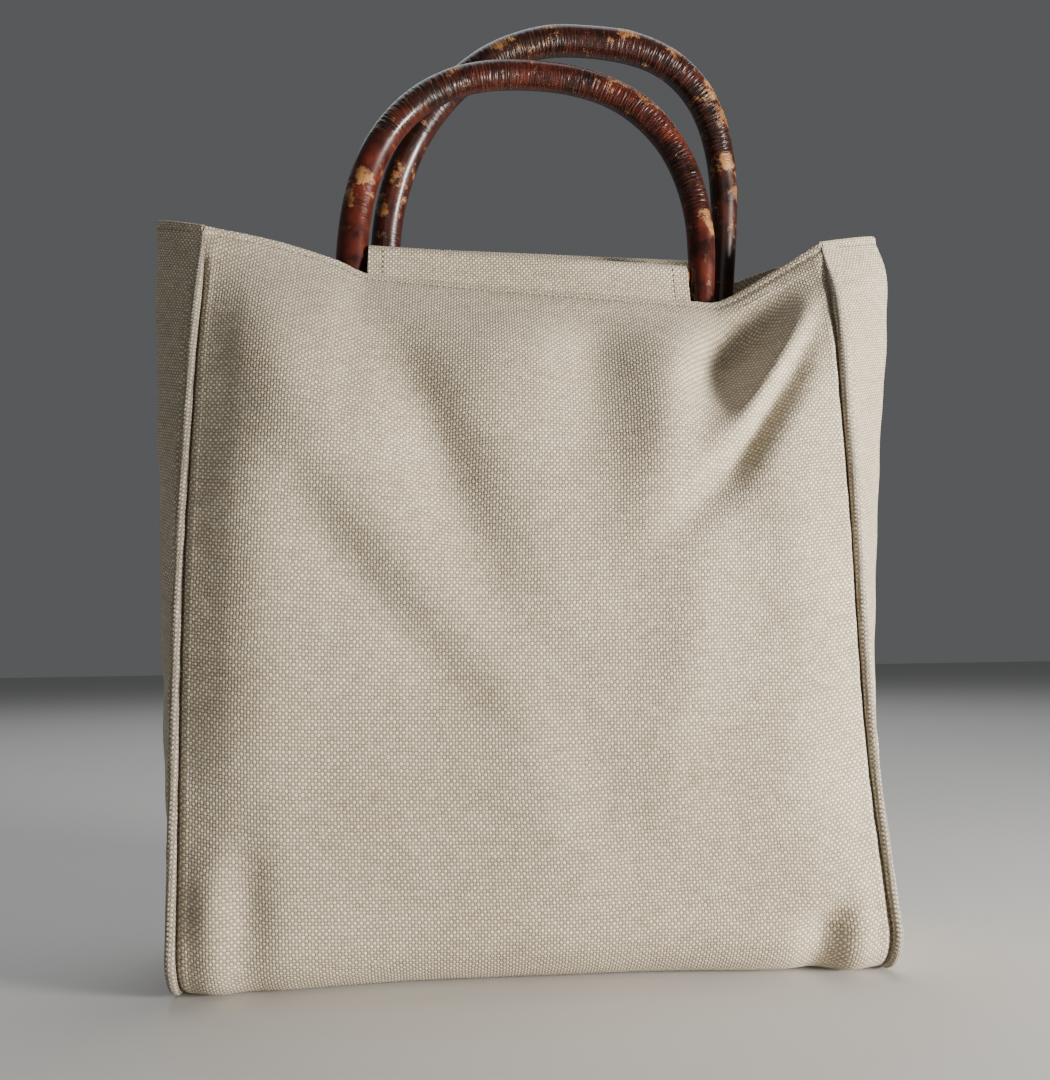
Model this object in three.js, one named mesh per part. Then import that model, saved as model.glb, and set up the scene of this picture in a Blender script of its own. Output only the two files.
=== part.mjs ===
// A canvas box bag with two bent-stick handles, in millimetres, +Z up, +X to its right, the front facing -Y.
// The front, bottom and back are one strip of cloth. A gusset closes each side, with piping in its seam.
// Each panel ends in a tab folded over a handle's bar, and the front leans back to its tab.
import * as THREE from "three";

// The cloth body
const panelWidth = 331;
const bagDepth = 108;
const frontHeight = 373.5;
const backHeight = 388.5;
const clothThickness = 2;
const cornerRadius = 20;
const bottomRoll = 34;
const bellyBulge = 11.5;
const backBulge = 8;
const backShift = 19;
const gussetRise = 8;

// The seams
const pipingDiameter = 4.5;
const pipingTopGap = 3;
const seamGap = 0.5;
const groundClearance = 0.15;
const edgeLift = 25;

// The handles
const handleSpan = 192;
const frontRise = 112;
const rearRise = 127;
const rearExtraSpan = 6;
const rearSkew = 7;
const archSquareness = 2.4;
const rearLeftSquareness = 2.1;
const rearRightSquareness = 2.75;
const leftRodDiameter = 17.2;
const rightRodDiameter = 15;
const footDrop = 18;
const barDiameter = 10;
const frontBarY = 6.5;
const frontTabRise = 14.5;
const rearTabRise = 16.2;
const frontBarDrop = 9;
const rearBarDrop = 5;
const handleOffset = 4;
const frontHandleLean = 0;
const rearHandleLean = 12.9;

// The tabs round the bars
const barClearance = 0.8;
const tabClearance = 0.9;
const footClearance = 0.9;
const barEndGap = 0.5;
const tabLap = 7;

// How fine the surfaces are
const sideCells = 7;
const tabCells = 9;
const frontCells = 20;
const backCells = 10;
const rollCells = 4;
const bottomCells = 3;
const gussetCells = 8;
const gussetRows = 18;
const turnCells = 9;
const pipingSides = 8;
const pipingSteps = 24;
const pipingCornerSteps = 7;
const rodSides = 12;
const rodSteps = 34;
const plySteps = 3;

// The share of the height below the hem in which folds fade out, the share of half the panel's width in which the
// back rolls away to its seams, and the share of the back's bulge that is left at the foot of its tab.
const foldFade = 0.16;
const backRoll = 0.3;
const backBulgeAtTab = 0.6;

// What the front does on its way up. seam is a share of half the bag's depth, middle goes from the tab's foot (0)
// to the belly (1), and roll is the share of half the panel's width in which it rolls away to the seam.
const frontSections = [
  { height: 0.0, seam: 1.0, middle: 0.86, roll: 0.26 },
  { height: 0.15, seam: 1.0, middle: 0.95, roll: 0.26 },
  { height: 0.32, seam: 1.0, middle: 1.0, roll: 0.26 },
  { height: 0.5, seam: 0.96, middle: 0.975, roll: 0.26 },
  { height: 0.61, seam: 0.89, middle: 0.93, roll: 0.28 },
  { height: 0.73, seam: 0.765, middle: 0.83, roll: 0.32 },
  { height: 0.79, seam: 0.69, middle: 0.745, roll: 0.36 },
  { height: 0.85, seam: 0.575, middle: 0.6, roll: 0.42 },
  { height: 0.905, seam: 0.45, middle: 0.415, roll: 0.46 },
  { height: 0.953, seam: 0.335, middle: 0.205, roll: 0.48 },
  { height: 1.0, seam: 0.23, middle: 0.0, roll: 0.5 },
];

// What the sides do on their way up. left and right are shares of half the panel's width at the seams,
// and bulge is the share of the bag's depth by which a gusset stands out between its seams.
const sideSections = [
  { height: 0.0, left: 1.0, right: 1.01, bulge: 0.03 },
  { height: 0.09, left: 1.0, right: 0.99, bulge: 0.08 },
  { height: 0.24, left: 1.0, right: 0.962, bulge: 0.155 },
  { height: 0.45, left: 1.0, right: 0.952, bulge: 0.205 },
  { height: 0.74, left: 0.997, right: 0.965, bulge: 0.29 },
  { height: 0.9, left: 1.0, right: 0.985, bulge: 0.34 },
  { height: 1.0, left: 1.005, right: 0.975, bulge: 0.37 },
];

// The line of the top hem, as shares of each panel's height. across is -2 and 2 at the seams, and -1 and 1 at the
// ends of the tab.
const hemSections = [
  { across: -2.0, front: 1.005, back: 1.0 },
  { across: -1.58, front: 0.991, back: 0.99 },
  { across: -1.2, front: 0.967, back: 0.967 },
  { across: -1.0, front: 0.948, back: 0.935 },
  { across: 1.0, front: 0.913, back: 0.925 },
  { across: 1.22, front: 0.912, back: 0.952 },
  { across: 1.6, front: 0.95, back: 0.98 },
  { across: 2.0, front: 0.995, back: 1.0 },
];

// The folds and dents of the front. across and up place each one, as shares of half the panel's width and of the
// height. turn is the angle of its long way from level in degrees, long and wide are half sizes as shares of the
// panel's width, and out is a share of the bag's depth, negative for a hollow.
const frontFolds = [
  { across: -0.6, up: 0.69, turn: -55, long: 0.29, wide: 0.075, out: 0.07 },
  { across: -0.34, up: 0.73, turn: -68, long: 0.19, wide: 0.05, out: -0.06 },
  { across: -0.1, up: 0.85, turn: 90, long: 0.09, wide: 0.06, out: 0.025 },
  { across: 0.18, up: 0.8, turn: 85, long: 0.15, wide: 0.07, out: -0.05 },
  { across: 0.42, up: 0.79, turn: 72, long: 0.14, wide: 0.045, out: 0.05 },
  { across: 0.61, up: 0.9, turn: 58, long: 0.1, wide: 0.05, out: -0.11 },
  { across: 0.8, up: 0.865, turn: 45, long: 0.11, wide: 0.02, out: 0.035 },
  { across: 0.66, up: 0.74, turn: 45, long: 0.15, wide: 0.028, out: -0.05 },
  { across: -0.4, up: 0.49, turn: -48, long: 0.18, wide: 0.04, out: -0.035 },
  { across: -0.9, up: 0.48, turn: 90, long: 0.45, wide: 0.07, out: -0.03 },
  { across: -0.91, up: 0.1, turn: 90, long: 0.08, wide: 0.03, out: 0.05 },
  { across: -0.79, up: 0.12, turn: 90, long: 0.09, wide: 0.028, out: -0.045 },
  { across: 0.76, up: 0.06, turn: 33, long: 0.06, wide: 0.022, out: -0.07 },
  { across: 0.91, up: 0.07, turn: 90, long: 0.06, wide: 0.03, out: 0.04 },
];

// The back is plainer: two soft folds run down from the ends of its tab.
const backFolds = [
  { across: -0.5, up: 0.74, turn: 60, long: 0.2, wide: 0.06, out: -0.04 },
  { across: 0.55, up: 0.72, turn: -62, long: 0.2, wide: 0.06, out: -0.04 },
];

const halfWidth = panelWidth / 2;
const halfDepth = bagDepth / 2;
const halfCloth = clothThickness / 2;
const pipingRadius = pipingDiameter / 2;
const seamInset = pipingRadius + seamGap;
const seamFloor = pipingRadius + groundClearance;
const thickestRod = Math.max(leftRodDiameter, rightRodDiameter) / 2;
const tabHalfWidth = handleSpan / 2 - thickestRod - tabClearance;
const tabShare = tabHalfWidth / halfWidth;
const casingRadius = barDiameter / 2 + barClearance + halfCloth;
const bellyOut = halfDepth + bellyBulge;

const mix = THREE.MathUtils.lerp;
const degrees = THREE.MathUtils.degToRad;
const clamp01 = (value) => THREE.MathUtils.clamp(value, 0, 1);

// From a bar's axis out to the middle of the cloth that the feet of its arch just clear.
function barToCloth(lean) {
  const foot = footDrop * Math.sin(degrees(lean)) + thickestRod * Math.cos(degrees(lean));
  return foot + footClearance + halfCloth;
}
const frontFootOut = barToCloth(-frontHandleLean) - frontBarY;
const backFootOut = halfDepth + backBulge * backBulgeAtTab;
const rearBarY = backFootOut - barToCloth(rearHandleLean);

// Reads one column of a table at any place, along a smooth curve through its rows.
function read(table, place, column, at) {
  const slopeAt = (i) => {
    const before = table[Math.max(i - 1, 0)];
    const after = table[Math.min(i + 1, table.length - 1)];
    return (after[column] - before[column]) / (after[place] - before[place]);
  };
  let row = 0;
  while (row < table.length - 2 && at > table[row + 1][place]) row += 1;
  const step = table[row + 1][place] - table[row][place];
  const t = clamp01((at - table[row][place]) / step);
  const rise = table[row + 1][column] - table[row][column];
  const start = slopeAt(row) * step - rise;
  const end = rise - slopeAt(row + 1) * step;
  return table[row][column] + t * rise + t * (1 - t) * ((1 - t) * start + t * end);
}

// How far a panel stands out from the bag's middle plane, between its seam and its middle.
function standOut(seamOut, middleOut, fromSeam, rollWidth) {
  const toSeam = Math.max(0, 1 - fromSeam / rollWidth);
  return mix(middleOut, seamOut, toSeam * toSeam);
}

// The sum of a panel's folds at a place on it. They fade out towards the hem.
function foldsAt(folds, x, z, height) {
  let sum = 0;
  for (const fold of folds) {
    const dx = x - fold.across * halfWidth;
    const dz = z - fold.up * height;
    const turn = degrees(fold.turn);
    const along = (dx * Math.cos(turn) + dz * Math.sin(turn)) / (fold.long * panelWidth);
    const aside = (dz * Math.cos(turn) - dx * Math.sin(turn)) / (fold.wide * panelWidth);
    sum += fold.out * bagDepth * Math.exp(-along * along - aside * aside);
  }
  return sum * THREE.MathUtils.smoothstep(height - z, 0, foldFade * height);
}

// The hem's height at a column, from -1 at the left seam to 1 at the right one.
function hemAt(hem, height, u) {
  const beyond = (Math.abs(u) - tabShare) / (1 - tabShare);
  const place = Math.abs(u) <= tabShare ? u / tabShare : Math.sign(u) * (1 + beyond);
  return height * read(hemSections, "across", hem, place);
}

// The height of a bar's axis over the middle of its tab's foot.
function barHeightOver(hem, height, rise) {
  return mix(hemAt(hem, height, -tabShare), hemAt(hem, height, tabShare), 0.5) + rise;
}

// The two panels, each with what makes it differ from the other.
const front = {
  side: -1,
  shift: 0,
  height: frontHeight,
  hem: "front",
  folds: frontFolds,
  centre: handleOffset,
  barY: frontBarY,
  barHeight: barHeightOver("front", frontHeight, frontTabRise),
  barDrop: frontBarDrop,
  seamOut: (up) => halfDepth * read(frontSections, "height", "seam", up),
  middleOut: (up) => mix(frontFootOut, bellyOut, read(frontSections, "height", "middle", up)),
  rollWidth: (up) => halfWidth * read(frontSections, "height", "roll", up),
};
const back = {
  side: 1,
  shift: backShift,
  height: backHeight,
  hem: "back",
  folds: backFolds,
  centre: handleOffset + backShift,
  barY: rearBarY,
  barHeight: barHeightOver("back", backHeight, rearTabRise),
  barDrop: rearBarDrop,
  seamOut: () => halfDepth,
  middleOut: (up) => mix(halfDepth + backBulge, backFootOut, up),
  rollWidth: () => halfWidth * backRoll,
};

// The seam's centre line on one side of a panel, from the end of the bottom's roll (0) to the top (1).
function seamPoint(panel, hand, up) {
  const share = read(sideSections, "height", hand < 0 ? "left" : "right", up);
  const top = hemAt(panel.hem, panel.height, hand);
  return new THREE.Vector3(
    hand * share * halfWidth + panel.shift * up,
    panel.side * panel.seamOut(up),
    mix(seamFloor + cornerRadius, top, up),
  );
}

// How far the panel's cut edge lies from the seam's centre line, measured across the bag.
function edgeInset(panel, up) {
  const slope = (2 * (panel.middleOut(up) - panel.seamOut(up))) / panel.rollWidth(up);
  return seamInset / Math.hypot(1, slope);
}

// Where a column of the panel lies across the bag. The columns lead up to the ends of the tab.
function acrossAt(panel, u, up) {
  const left = seamPoint(panel, -1, up).x;
  const right = seamPoint(panel, 1, up).x;
  const low = mix(left, right, (u + 1) / 2);
  const tabLeft = panel.centre - tabHalfWidth;
  const tabRight = panel.centre + tabHalfWidth;
  let top = mix(tabLeft, tabRight, (u / tabShare + 1) / 2);
  if (u < -tabShare) top = mix(left, tabLeft, (u + 1) / (1 - tabShare));
  if (u > tabShare) top = mix(tabRight, right, (u - tabShare) / (1 - tabShare));
  const inset = edgeInset(panel, up);
  return THREE.MathUtils.clamp(mix(low, top, up * up), left + inset, right - inset);
}

// The bottom's height at a column, flat in the middle and lifted to the seams.
function bottomHeight(u) {
  const toSeam = Math.max(0, 1 - ((1 - Math.abs(u)) * halfWidth) / edgeLift);
  return mix(halfCloth, seamFloor, toSeam * toSeam);
}

// The radius of the roll between a panel and the bottom, softer in the middle.
function rollRadius(u) {
  return mix(bottomRoll, cornerRadius, u * u);
}

// A point of a panel's cloth, half way through its thickness.
function panelPoint(panel, u, up) {
  const x = acrossAt(panel, u, up);
  const left = seamPoint(panel, -1, up).x;
  const right = seamPoint(panel, 1, up).x;
  const fromSeam = Math.min(x - left, right - x);
  const hem = hemAt(panel.hem, panel.height, u);
  const z = mix(bottomHeight(u) + rollRadius(u), hem, up);
  const out = standOut(panel.seamOut(up), panel.middleOut(up), fromSeam, panel.rollWidth(up));
  const settled = foldsAt(panel.folds, x - panel.shift * up, z, hem) * clamp01(fromSeam / edgeLift);
  return new THREE.Vector3(x, panel.side * (out + settled), z);
}

// A point of the roll under a panel, from the panel (0) to the bottom (1).
function rollPoint(panel, u, turned) {
  const start = panelPoint(panel, u, 0);
  const radius = rollRadius(u);
  const angle = (turned * Math.PI) / 2;
  start.y -= panel.side * radius * (1 - Math.cos(angle));
  start.z -= radius * Math.sin(angle);
  return start;
}

// The bar's height at a place across the bag.
function barHeightAt(panel, x) {
  return panel.barHeight - ((x - panel.centre) / (2 * tabHalfWidth)) * panel.barDrop;
}

// The tab at one column, from its foot up round the bar and down to the end that is sewn behind the foot.
// inwards and below are measured from the bar's axis.
function tabPath(panel, u) {
  const foot = panelPoint(panel, u, 1);
  const barZ = barHeightAt(panel, foot.x);
  const at = (inwards, above) => new THREE.Vector3(foot.x, panel.barY - panel.side * inwards, barZ + above);
  const footInwards = (panel.barY - foot.y) * panel.side;
  const footBelow = foot.z - barZ;
  const frontPly = (share) => [mix(footInwards, -casingRadius, share), mix(footBelow, 0, share)];
  const ply = clothThickness + 2 * seamGap;
  const lapShare = tabLap / -footBelow;
  const [lapInwards, lapAbove] = frontPly(lapShare);
  const lap = new THREE.Vector2(lapInwards + ply, lapAbove);
  const lapAngle = 2 * Math.PI - Math.atan2(-lap.y, -lap.x);
  const turn = lapAngle - Math.acos(casingRadius / lap.length());
  const path = [];
  for (let i = 1; i < plySteps; i += 1) path.push(at(...frontPly(i / plySteps)));
  for (let i = 0; i <= turnCells; i += 1) {
    const angle = (i / turnCells) * turn;
    path.push(at(-casingRadius * Math.cos(angle), casingRadius * Math.sin(angle)));
  }
  path.push(at(lap.x, lap.y));
  path.push(at(footInwards + ply, footBelow + halfCloth));
  return path;
}

// Makes a closed wall of cloth from a lattice of points half way through it. A cell with a missing corner is open.
function clothWall(rows, thickness) {
  const positions = [];
  const index = [];
  const outer = rows.map((row) => row.map(() => -1));
  const columns = rows[0].length;
  const pointAt = (r, c) => (r < 0 || r >= rows.length || c < 0 || c >= columns ? null : rows[r][c]);
  const away = (r, c, dr, dc) => {
    const here = rows[r][c];
    const next = pointAt(r + dr, c + dc) ?? here;
    const last = pointAt(r - dr, c - dc) ?? here;
    return next.clone().sub(last);
  };
  rows.forEach((row, r) =>
    row.forEach((point, c) => {
      if (!point) return;
      const normal = away(r, c, 0, 1).cross(away(r, c, 1, 0)).normalize();
      outer[r][c] = positions.length / 3;
      positions.push(...point.clone().addScaledVector(normal, thickness / 2));
      positions.push(...point.clone().addScaledVector(normal, -thickness / 2));
    }),
  );
  const isCell = (r, c) =>
    [pointAt(r, c), pointAt(r, c + 1), pointAt(r + 1, c), pointAt(r + 1, c + 1)].every(Boolean);
  const quad = (a, b, c, d) => index.push(a, b, c, a, c, d);
  for (let r = 0; r < rows.length - 1; r += 1) {
    for (let c = 0; c < columns - 1; c += 1) {
      if (!isCell(r, c)) continue;
      const [a, b, d, e] = [outer[r][c], outer[r][c + 1], outer[r + 1][c + 1], outer[r + 1][c]];
      quad(a, b, d, e);
      quad(e + 1, d + 1, b + 1, a + 1);
      if (!isCell(r - 1, c)) quad(b, a, a + 1, b + 1);
      if (!isCell(r, c + 1)) quad(d, b, b + 1, d + 1);
      if (!isCell(r + 1, c)) quad(e, d, d + 1, e + 1);
      if (!isCell(r, c - 1)) quad(a, e, e + 1, a + 1);
    }
  }
  const geometry = new THREE.BufferGeometry();
  geometry.setAttribute("position", new THREE.Float32BufferAttribute(positions, 3));
  geometry.setIndex(index);
  return geometry;
}

// Makes a closed rod along a path of points, with a radius for each share of its length.
function rod(path, sides, radiusAt) {
  const positions = [];
  const index = [];
  const last = path.length - 1;
  const tangentAt = (i) => {
    const [before, after] = [path[Math.max(i - 1, 0)], path[Math.min(i + 1, last)]];
    return after.clone().sub(before).normalize();
  };
  const planeNormal = tangentAt(0).cross(path[Math.round(last / 2)].clone().sub(path[0])).normalize();
  path.forEach((point, i) => {
    const inPlane = tangentAt(i).cross(planeNormal).normalize();
    for (let s = 0; s < sides; s += 1) {
      const angle = (s / sides) * 2 * Math.PI;
      const radius = radiusAt(i / last);
      const place = point.clone();
      place.addScaledVector(inPlane, radius * Math.cos(angle));
      place.addScaledVector(planeNormal, radius * Math.sin(angle));
      positions.push(...place);
    }
  });
  for (let i = 0; i < last; i += 1) {
    for (let s = 0; s < sides; s += 1) {
      const [a, b] = [i * sides + s, i * sides + ((s + 1) % sides)];
      index.push(a, b + sides, b, a, a + sides, b + sides);
    }
  }
  for (const [ring, point, turned] of [[0, path[0], false], [last, path[last], true]]) {
    const centre = positions.length / 3;
    positions.push(...point);
    for (let s = 0; s < sides; s += 1) {
      const [a, b] = [ring * sides + s, ring * sides + ((s + 1) % sides)];
      index.push(centre, turned ? b : a, turned ? a : b);
    }
  }
  const geometry = new THREE.BufferGeometry();
  geometry.setAttribute("position", new THREE.Float32BufferAttribute(positions, 3));
  geometry.setIndex(index);
  return geometry;
}

// The columns of the strip, closer at the ends of the tab than elsewhere.
function stripColumns() {
  const columns = [];
  for (let i = 0; i < sideCells; i += 1) columns.push(mix(-1, -tabShare, i / sideCells));
  for (let i = 0; i < tabCells; i += 1) columns.push(mix(-tabShare, tabShare, i / tabCells));
  for (let i = 0; i <= sideCells; i += 1) columns.push(mix(tabShare, 1, i / sideCells));
  return columns;
}

// The strip of cloth: front tab, front, bottom, back and back tab.
function bodyPanel() {
  const columns = stripColumns();
  const isTab = (i) => i >= sideCells && i <= sideCells + tabCells;
  const tabRows = (panel) => {
    const paths = columns.map((u, i) => (isTab(i) ? tabPath(panel, u) : null));
    return paths[sideCells].map((point, k) => paths.map((path) => (path ? path[k] : null)));
  };
  const row = (pointAt) => columns.map(pointAt);
  const rows = tabRows(front).reverse();
  for (let i = frontCells; i > 0; i -= 1) rows.push(row((u) => panelPoint(front, u, i / frontCells)));
  for (let i = 0; i < rollCells; i += 1) rows.push(row((u) => rollPoint(front, u, i / rollCells)));
  for (let i = 0; i <= bottomCells; i += 1) {
    rows.push(row((u) => rollPoint(front, u, 1).lerp(rollPoint(back, u, 1), i / bottomCells)));
  }
  for (let i = rollCells - 1; i >= 0; i -= 1) rows.push(row((u) => rollPoint(back, u, i / rollCells)));
  for (let i = 1; i <= backCells; i += 1) rows.push(row((u) => panelPoint(back, u, i / backCells)));
  rows.push(...tabRows(back));
  return clothWall(rows, clothThickness);
}

// The seam's centre line in the side view at a height: the corner's arc below, the panel's seam above.
function seamAtHeight(panel, hand, z) {
  const roundTop = seamFloor + cornerRadius;
  const top = seamPoint(panel, hand, 1).z;
  const up = clamp01((z - roundTop) / (top - roundTop));
  const point = seamPoint(panel, hand, up);
  const below = THREE.MathUtils.clamp((roundTop - z) / cornerRadius, 0, 1);
  point.y -= panel.side * cornerRadius * (1 - Math.sqrt(1 - below * below));
  point.z = z;
  return { point, up };
}

// The share of a gusset's row that is left free for the seam at one end, where the row leaves it along rowWay.
function seamShare(panel, hand, z, rowWay) {
  const below = Math.max(0, seamFloor + cornerRadius - z);
  const innerRadius = cornerRadius - seamInset;
  const inner = Math.sqrt(Math.max(0, innerRadius * innerRadius - below * below));
  const atCorner = Math.sqrt(cornerRadius * cornerRadius - below * below) - inner;
  if (below > 0) return atCorner / rowWay.length();
  const seamWay = seamAtHeight(panel, hand, z + 1).point.sub(seamAtHeight(panel, hand, z).point).normalize();
  return seamInset / rowWay.clone().cross(seamWay).length();
}

// A gusset between its two seams, standing out between them and with its top edge raised in the middle.
function gusset(hand) {
  const rows = [];
  const bottom = seamFloor + seamInset;
  const frontTop = seamPoint(front, hand, 1).z;
  const backTop = seamPoint(back, hand, 1).z;
  for (let r = 0; r <= gussetRows; r += 1) {
    const share = r / gussetRows;
    const a = seamAtHeight(front, hand, mix(bottom, frontTop, share));
    const b = seamAtHeight(back, hand, mix(bottom, backTop, share));
    const bulge = bagDepth * read(sideSections, "height", "bulge", a.up);
    const swell = new THREE.Vector3(hand * bulge, 0, gussetRise * share);
    const straight = b.point.clone().sub(a.point);
    const frontCut = seamShare(front, hand, a.point.z, straight.clone().addScaledVector(swell, Math.PI));
    const backCut = seamShare(back, hand, b.point.z, straight.clone().addScaledVector(swell, -Math.PI));
    const row = [];
    for (let c = 0; c <= gussetCells; c += 1) {
      const t = mix(frontCut, 1 - backCut, c / gussetCells);
      row.push(a.point.clone().addScaledVector(straight, t).addScaledVector(swell, Math.sin(Math.PI * t)));
    }
    rows.push(hand > 0 ? row : row.reverse());
  }
  return clothWall(rows.reverse(), clothThickness);
}

// The piping down one front seam, round both bottom corners and up the back seam.
function piping(hand) {
  const path = [];
  const topShare = (panel) => 1 - pipingTopGap / panel.height;
  for (let i = 0; i < pipingSteps; i += 1) {
    path.push(seamPoint(front, hand, topShare(front) * (1 - i / pipingSteps)));
  }
  const corner = (panel, turned) => {
    const point = seamPoint(panel, hand, 0);
    const angle = (turned * Math.PI) / 2;
    point.y -= panel.side * cornerRadius * (1 - Math.cos(angle));
    point.z -= cornerRadius * Math.sin(angle);
    return point;
  };
  for (let i = 0; i <= pipingCornerSteps; i += 1) path.push(corner(front, i / pipingCornerSteps));
  for (let i = pipingCornerSteps; i >= 0; i -= 1) path.push(corner(back, i / pipingCornerSteps));
  for (let i = 1; i <= pipingSteps; i += 1) {
    path.push(seamPoint(back, hand, (topShare(back) * i) / pipingSteps));
  }
  return rod(path, pipingSides, () => pipingRadius);
}

// The two sticks. Each side of an arch has its own squareness, and skew is how far the top is bent to the right.
const frontStick = {
  span: handleSpan,
  rise: frontRise,
  skew: 0,
  leftSquareness: archSquareness,
  rightSquareness: archSquareness,
};
const rearStick = {
  span: handleSpan + rearExtraSpan,
  rise: rearRise,
  skew: rearSkew,
  leftSquareness: rearLeftSquareness,
  rightSquareness: rearRightSquareness,
};

// A handle in its own frame, its origin in the middle of the bar: a bent stick, thicker on the left, with
// straight feet that reach below the bar.
function handleArch(stick) {
  const half = stick.span / 2;
  const path = [new THREE.Vector3(-half, 0, -footDrop)];
  for (let i = 0; i <= rodSteps; i += 1) {
    const angle = Math.PI * (1 - i / rodSteps);
    const [across, up] = [Math.cos(angle), Math.sin(angle)];
    const squareness = across < 0 ? stick.leftSquareness : stick.rightSquareness;
    const x = Math.sign(across) * Math.abs(across) ** (2 / squareness);
    const z = Math.abs(up) ** (2 / squareness);
    path.push(new THREE.Vector3(half * x + stick.skew * z * z, 0, stick.rise * z));
  }
  path.push(new THREE.Vector3(half, 0, -footDrop));
  return rod(path, rodSides, (share) => mix(leftRodDiameter, rightRodDiameter, share) / 2);
}

// The plain bar hidden in the tab, between the feet of the arch.
function handleBar(stick) {
  const left = -stick.span / 2 + leftRodDiameter / 2 + barEndGap;
  const right = stick.span / 2 - rightRodDiameter / 2 - barEndGap;
  const bar = new THREE.CylinderGeometry(barDiameter / 2, barDiameter / 2, right - left, rodSides);
  bar.rotateZ(Math.PI / 2);
  bar.translate((left + right) / 2, 0, 0);
  return bar;
}

// The colours of the cloth and the two kinds of wood.
const canvas = (tone) => new THREE.MeshStandardMaterial({ color: tone, roughness: 0.95, metalness: 0 });
const lacquer = () => new THREE.MeshStandardMaterial({ color: 0x4a2413, roughness: 0.25, metalness: 0 });
const plainWood = () => new THREE.MeshStandardMaterial({ color: 0xa07a4e, roughness: 0.7, metalness: 0 });

function piece(name, geometry, material) {
  const mesh = new THREE.Mesh(geometry, material);
  mesh.name = name;
  return mesh;
}

// One handle on its bar: leaning about the bar, and as level as its tab holds it.
function handle(name, panel, stick, lean) {
  const group = new THREE.Group();
  group.add(piece(`handle_arch_${name}`, handleArch(stick), lacquer()));
  group.add(piece(`handle_bar_${name}`, handleBar(stick), plainWood()));
  group.rotation.order = "YXZ";
  group.rotation.x = degrees(lean);
  group.rotation.y = Math.atan2(panel.barDrop, 2 * tabHalfWidth);
  group.position.set(panel.centre, panel.barY, panel.barHeight);
  return group;
}

const bag = new THREE.Group();
bag.add(piece("body_panel", bodyPanel(), canvas(0xc1b6a9)));
bag.add(piece("gusset_left", gusset(-1), canvas(0xb9ae9f)));
bag.add(piece("gusset_right", gusset(1), canvas(0xb9ae9f)));
bag.add(piece("piping_left", piping(-1), canvas(0xa89c89)));
bag.add(piece("piping_right", piping(1), canvas(0xa89c89)));
bag.add(handle("front", front, frontStick, frontHandleLean));
bag.add(handle("rear", back, rearStick, rearHandleLean));

// The origin lies under the middle of the whole bag, on the surface that it stands on.
const extent = new THREE.Box3().setFromObject(bag, true);
const middle = extent.getCenter(new THREE.Vector3());
bag.position.set(-middle.x, -middle.y, -extent.min.z);

const model = new THREE.Group();
model.add(bag);
export default model;
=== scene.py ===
"""The looks of a canvas bag with two bent-stick handles. Sizes are in millimetres until a mesh is made."""

import math

import bpy
import numpy as np
from mathutils import Matrix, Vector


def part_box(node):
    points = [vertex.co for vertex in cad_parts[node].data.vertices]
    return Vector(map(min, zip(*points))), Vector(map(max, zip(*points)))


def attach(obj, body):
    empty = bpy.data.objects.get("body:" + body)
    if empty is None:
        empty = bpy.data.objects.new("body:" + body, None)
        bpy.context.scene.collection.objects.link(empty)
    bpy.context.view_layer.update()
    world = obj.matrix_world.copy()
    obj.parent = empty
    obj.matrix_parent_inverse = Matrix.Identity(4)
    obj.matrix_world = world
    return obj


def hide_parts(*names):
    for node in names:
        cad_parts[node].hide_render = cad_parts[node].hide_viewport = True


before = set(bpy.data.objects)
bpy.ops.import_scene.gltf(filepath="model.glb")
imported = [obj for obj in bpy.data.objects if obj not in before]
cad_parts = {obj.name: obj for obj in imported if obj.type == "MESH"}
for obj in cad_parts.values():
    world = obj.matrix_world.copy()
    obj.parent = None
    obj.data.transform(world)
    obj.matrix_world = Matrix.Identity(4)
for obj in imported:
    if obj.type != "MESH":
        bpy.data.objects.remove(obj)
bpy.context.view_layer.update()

# The cloth body
PANEL_WIDTH = 331
BAG_DEPTH = 108
FRONT_HEIGHT = 373.5
BACK_HEIGHT = 388.5
CORNER_RADIUS = 20
BOTTOM_ROLL = 34
BELLY_BULGE = 11.5
BACK_BULGE = 8
BACK_SHIFT = 19
GUSSET_RISE = 8
CLOTH = 1.2
WALL = 2

# The seams and hems
PIPING_DIAMETER = 4.5
PIPING_TOP_GAP = 3
GROUND_CLEARANCE = 0.15
EDGE_LIFT = 25
SEAM_GAP = 0.5
HEM_DEPTH = 12
STITCH_BELOW = 4.2
STITCH_PITCH = 3.4
STITCH_LENGTH = 2.6
STITCH_RADIUS = 0.33
TAB_STITCH_INSET = 8
TOP_ROUNDING = 5
FOLD_FADE = 0.12
PIPING_OUT = 1.1

# The handles
HANDLE_SPAN = 192
FRONT_RISE = 112
REAR_RISE = 127
REAR_EXTRA_SPAN = 6
REAR_SKEW = 7
ARCH_SQUARENESS = 2.4
REAR_LEFT_SQUARENESS = 2.1
REAR_RIGHT_SQUARENESS = 2.75
REAR_SWELL = 0.9
LEFT_ROD = 17.2
RIGHT_ROD = 15
FOOT_DROP = 18
BAR_DIAMETER = 10
FRONT_BAR_Y = 6.5
FRONT_TAB_RISE = 14.5
REAR_TAB_RISE = 16.2
FRONT_BAR_DROP = 9
REAR_BAR_DROP = 5
HANDLE_OFFSET = 4
REAR_LEAN = 12.9
BAR_CLEARANCE = 0.8
TAB_CLEARANCE = 0.9
FOOT_CLEARANCE = 0.9
TAB_LAP = 7

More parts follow.
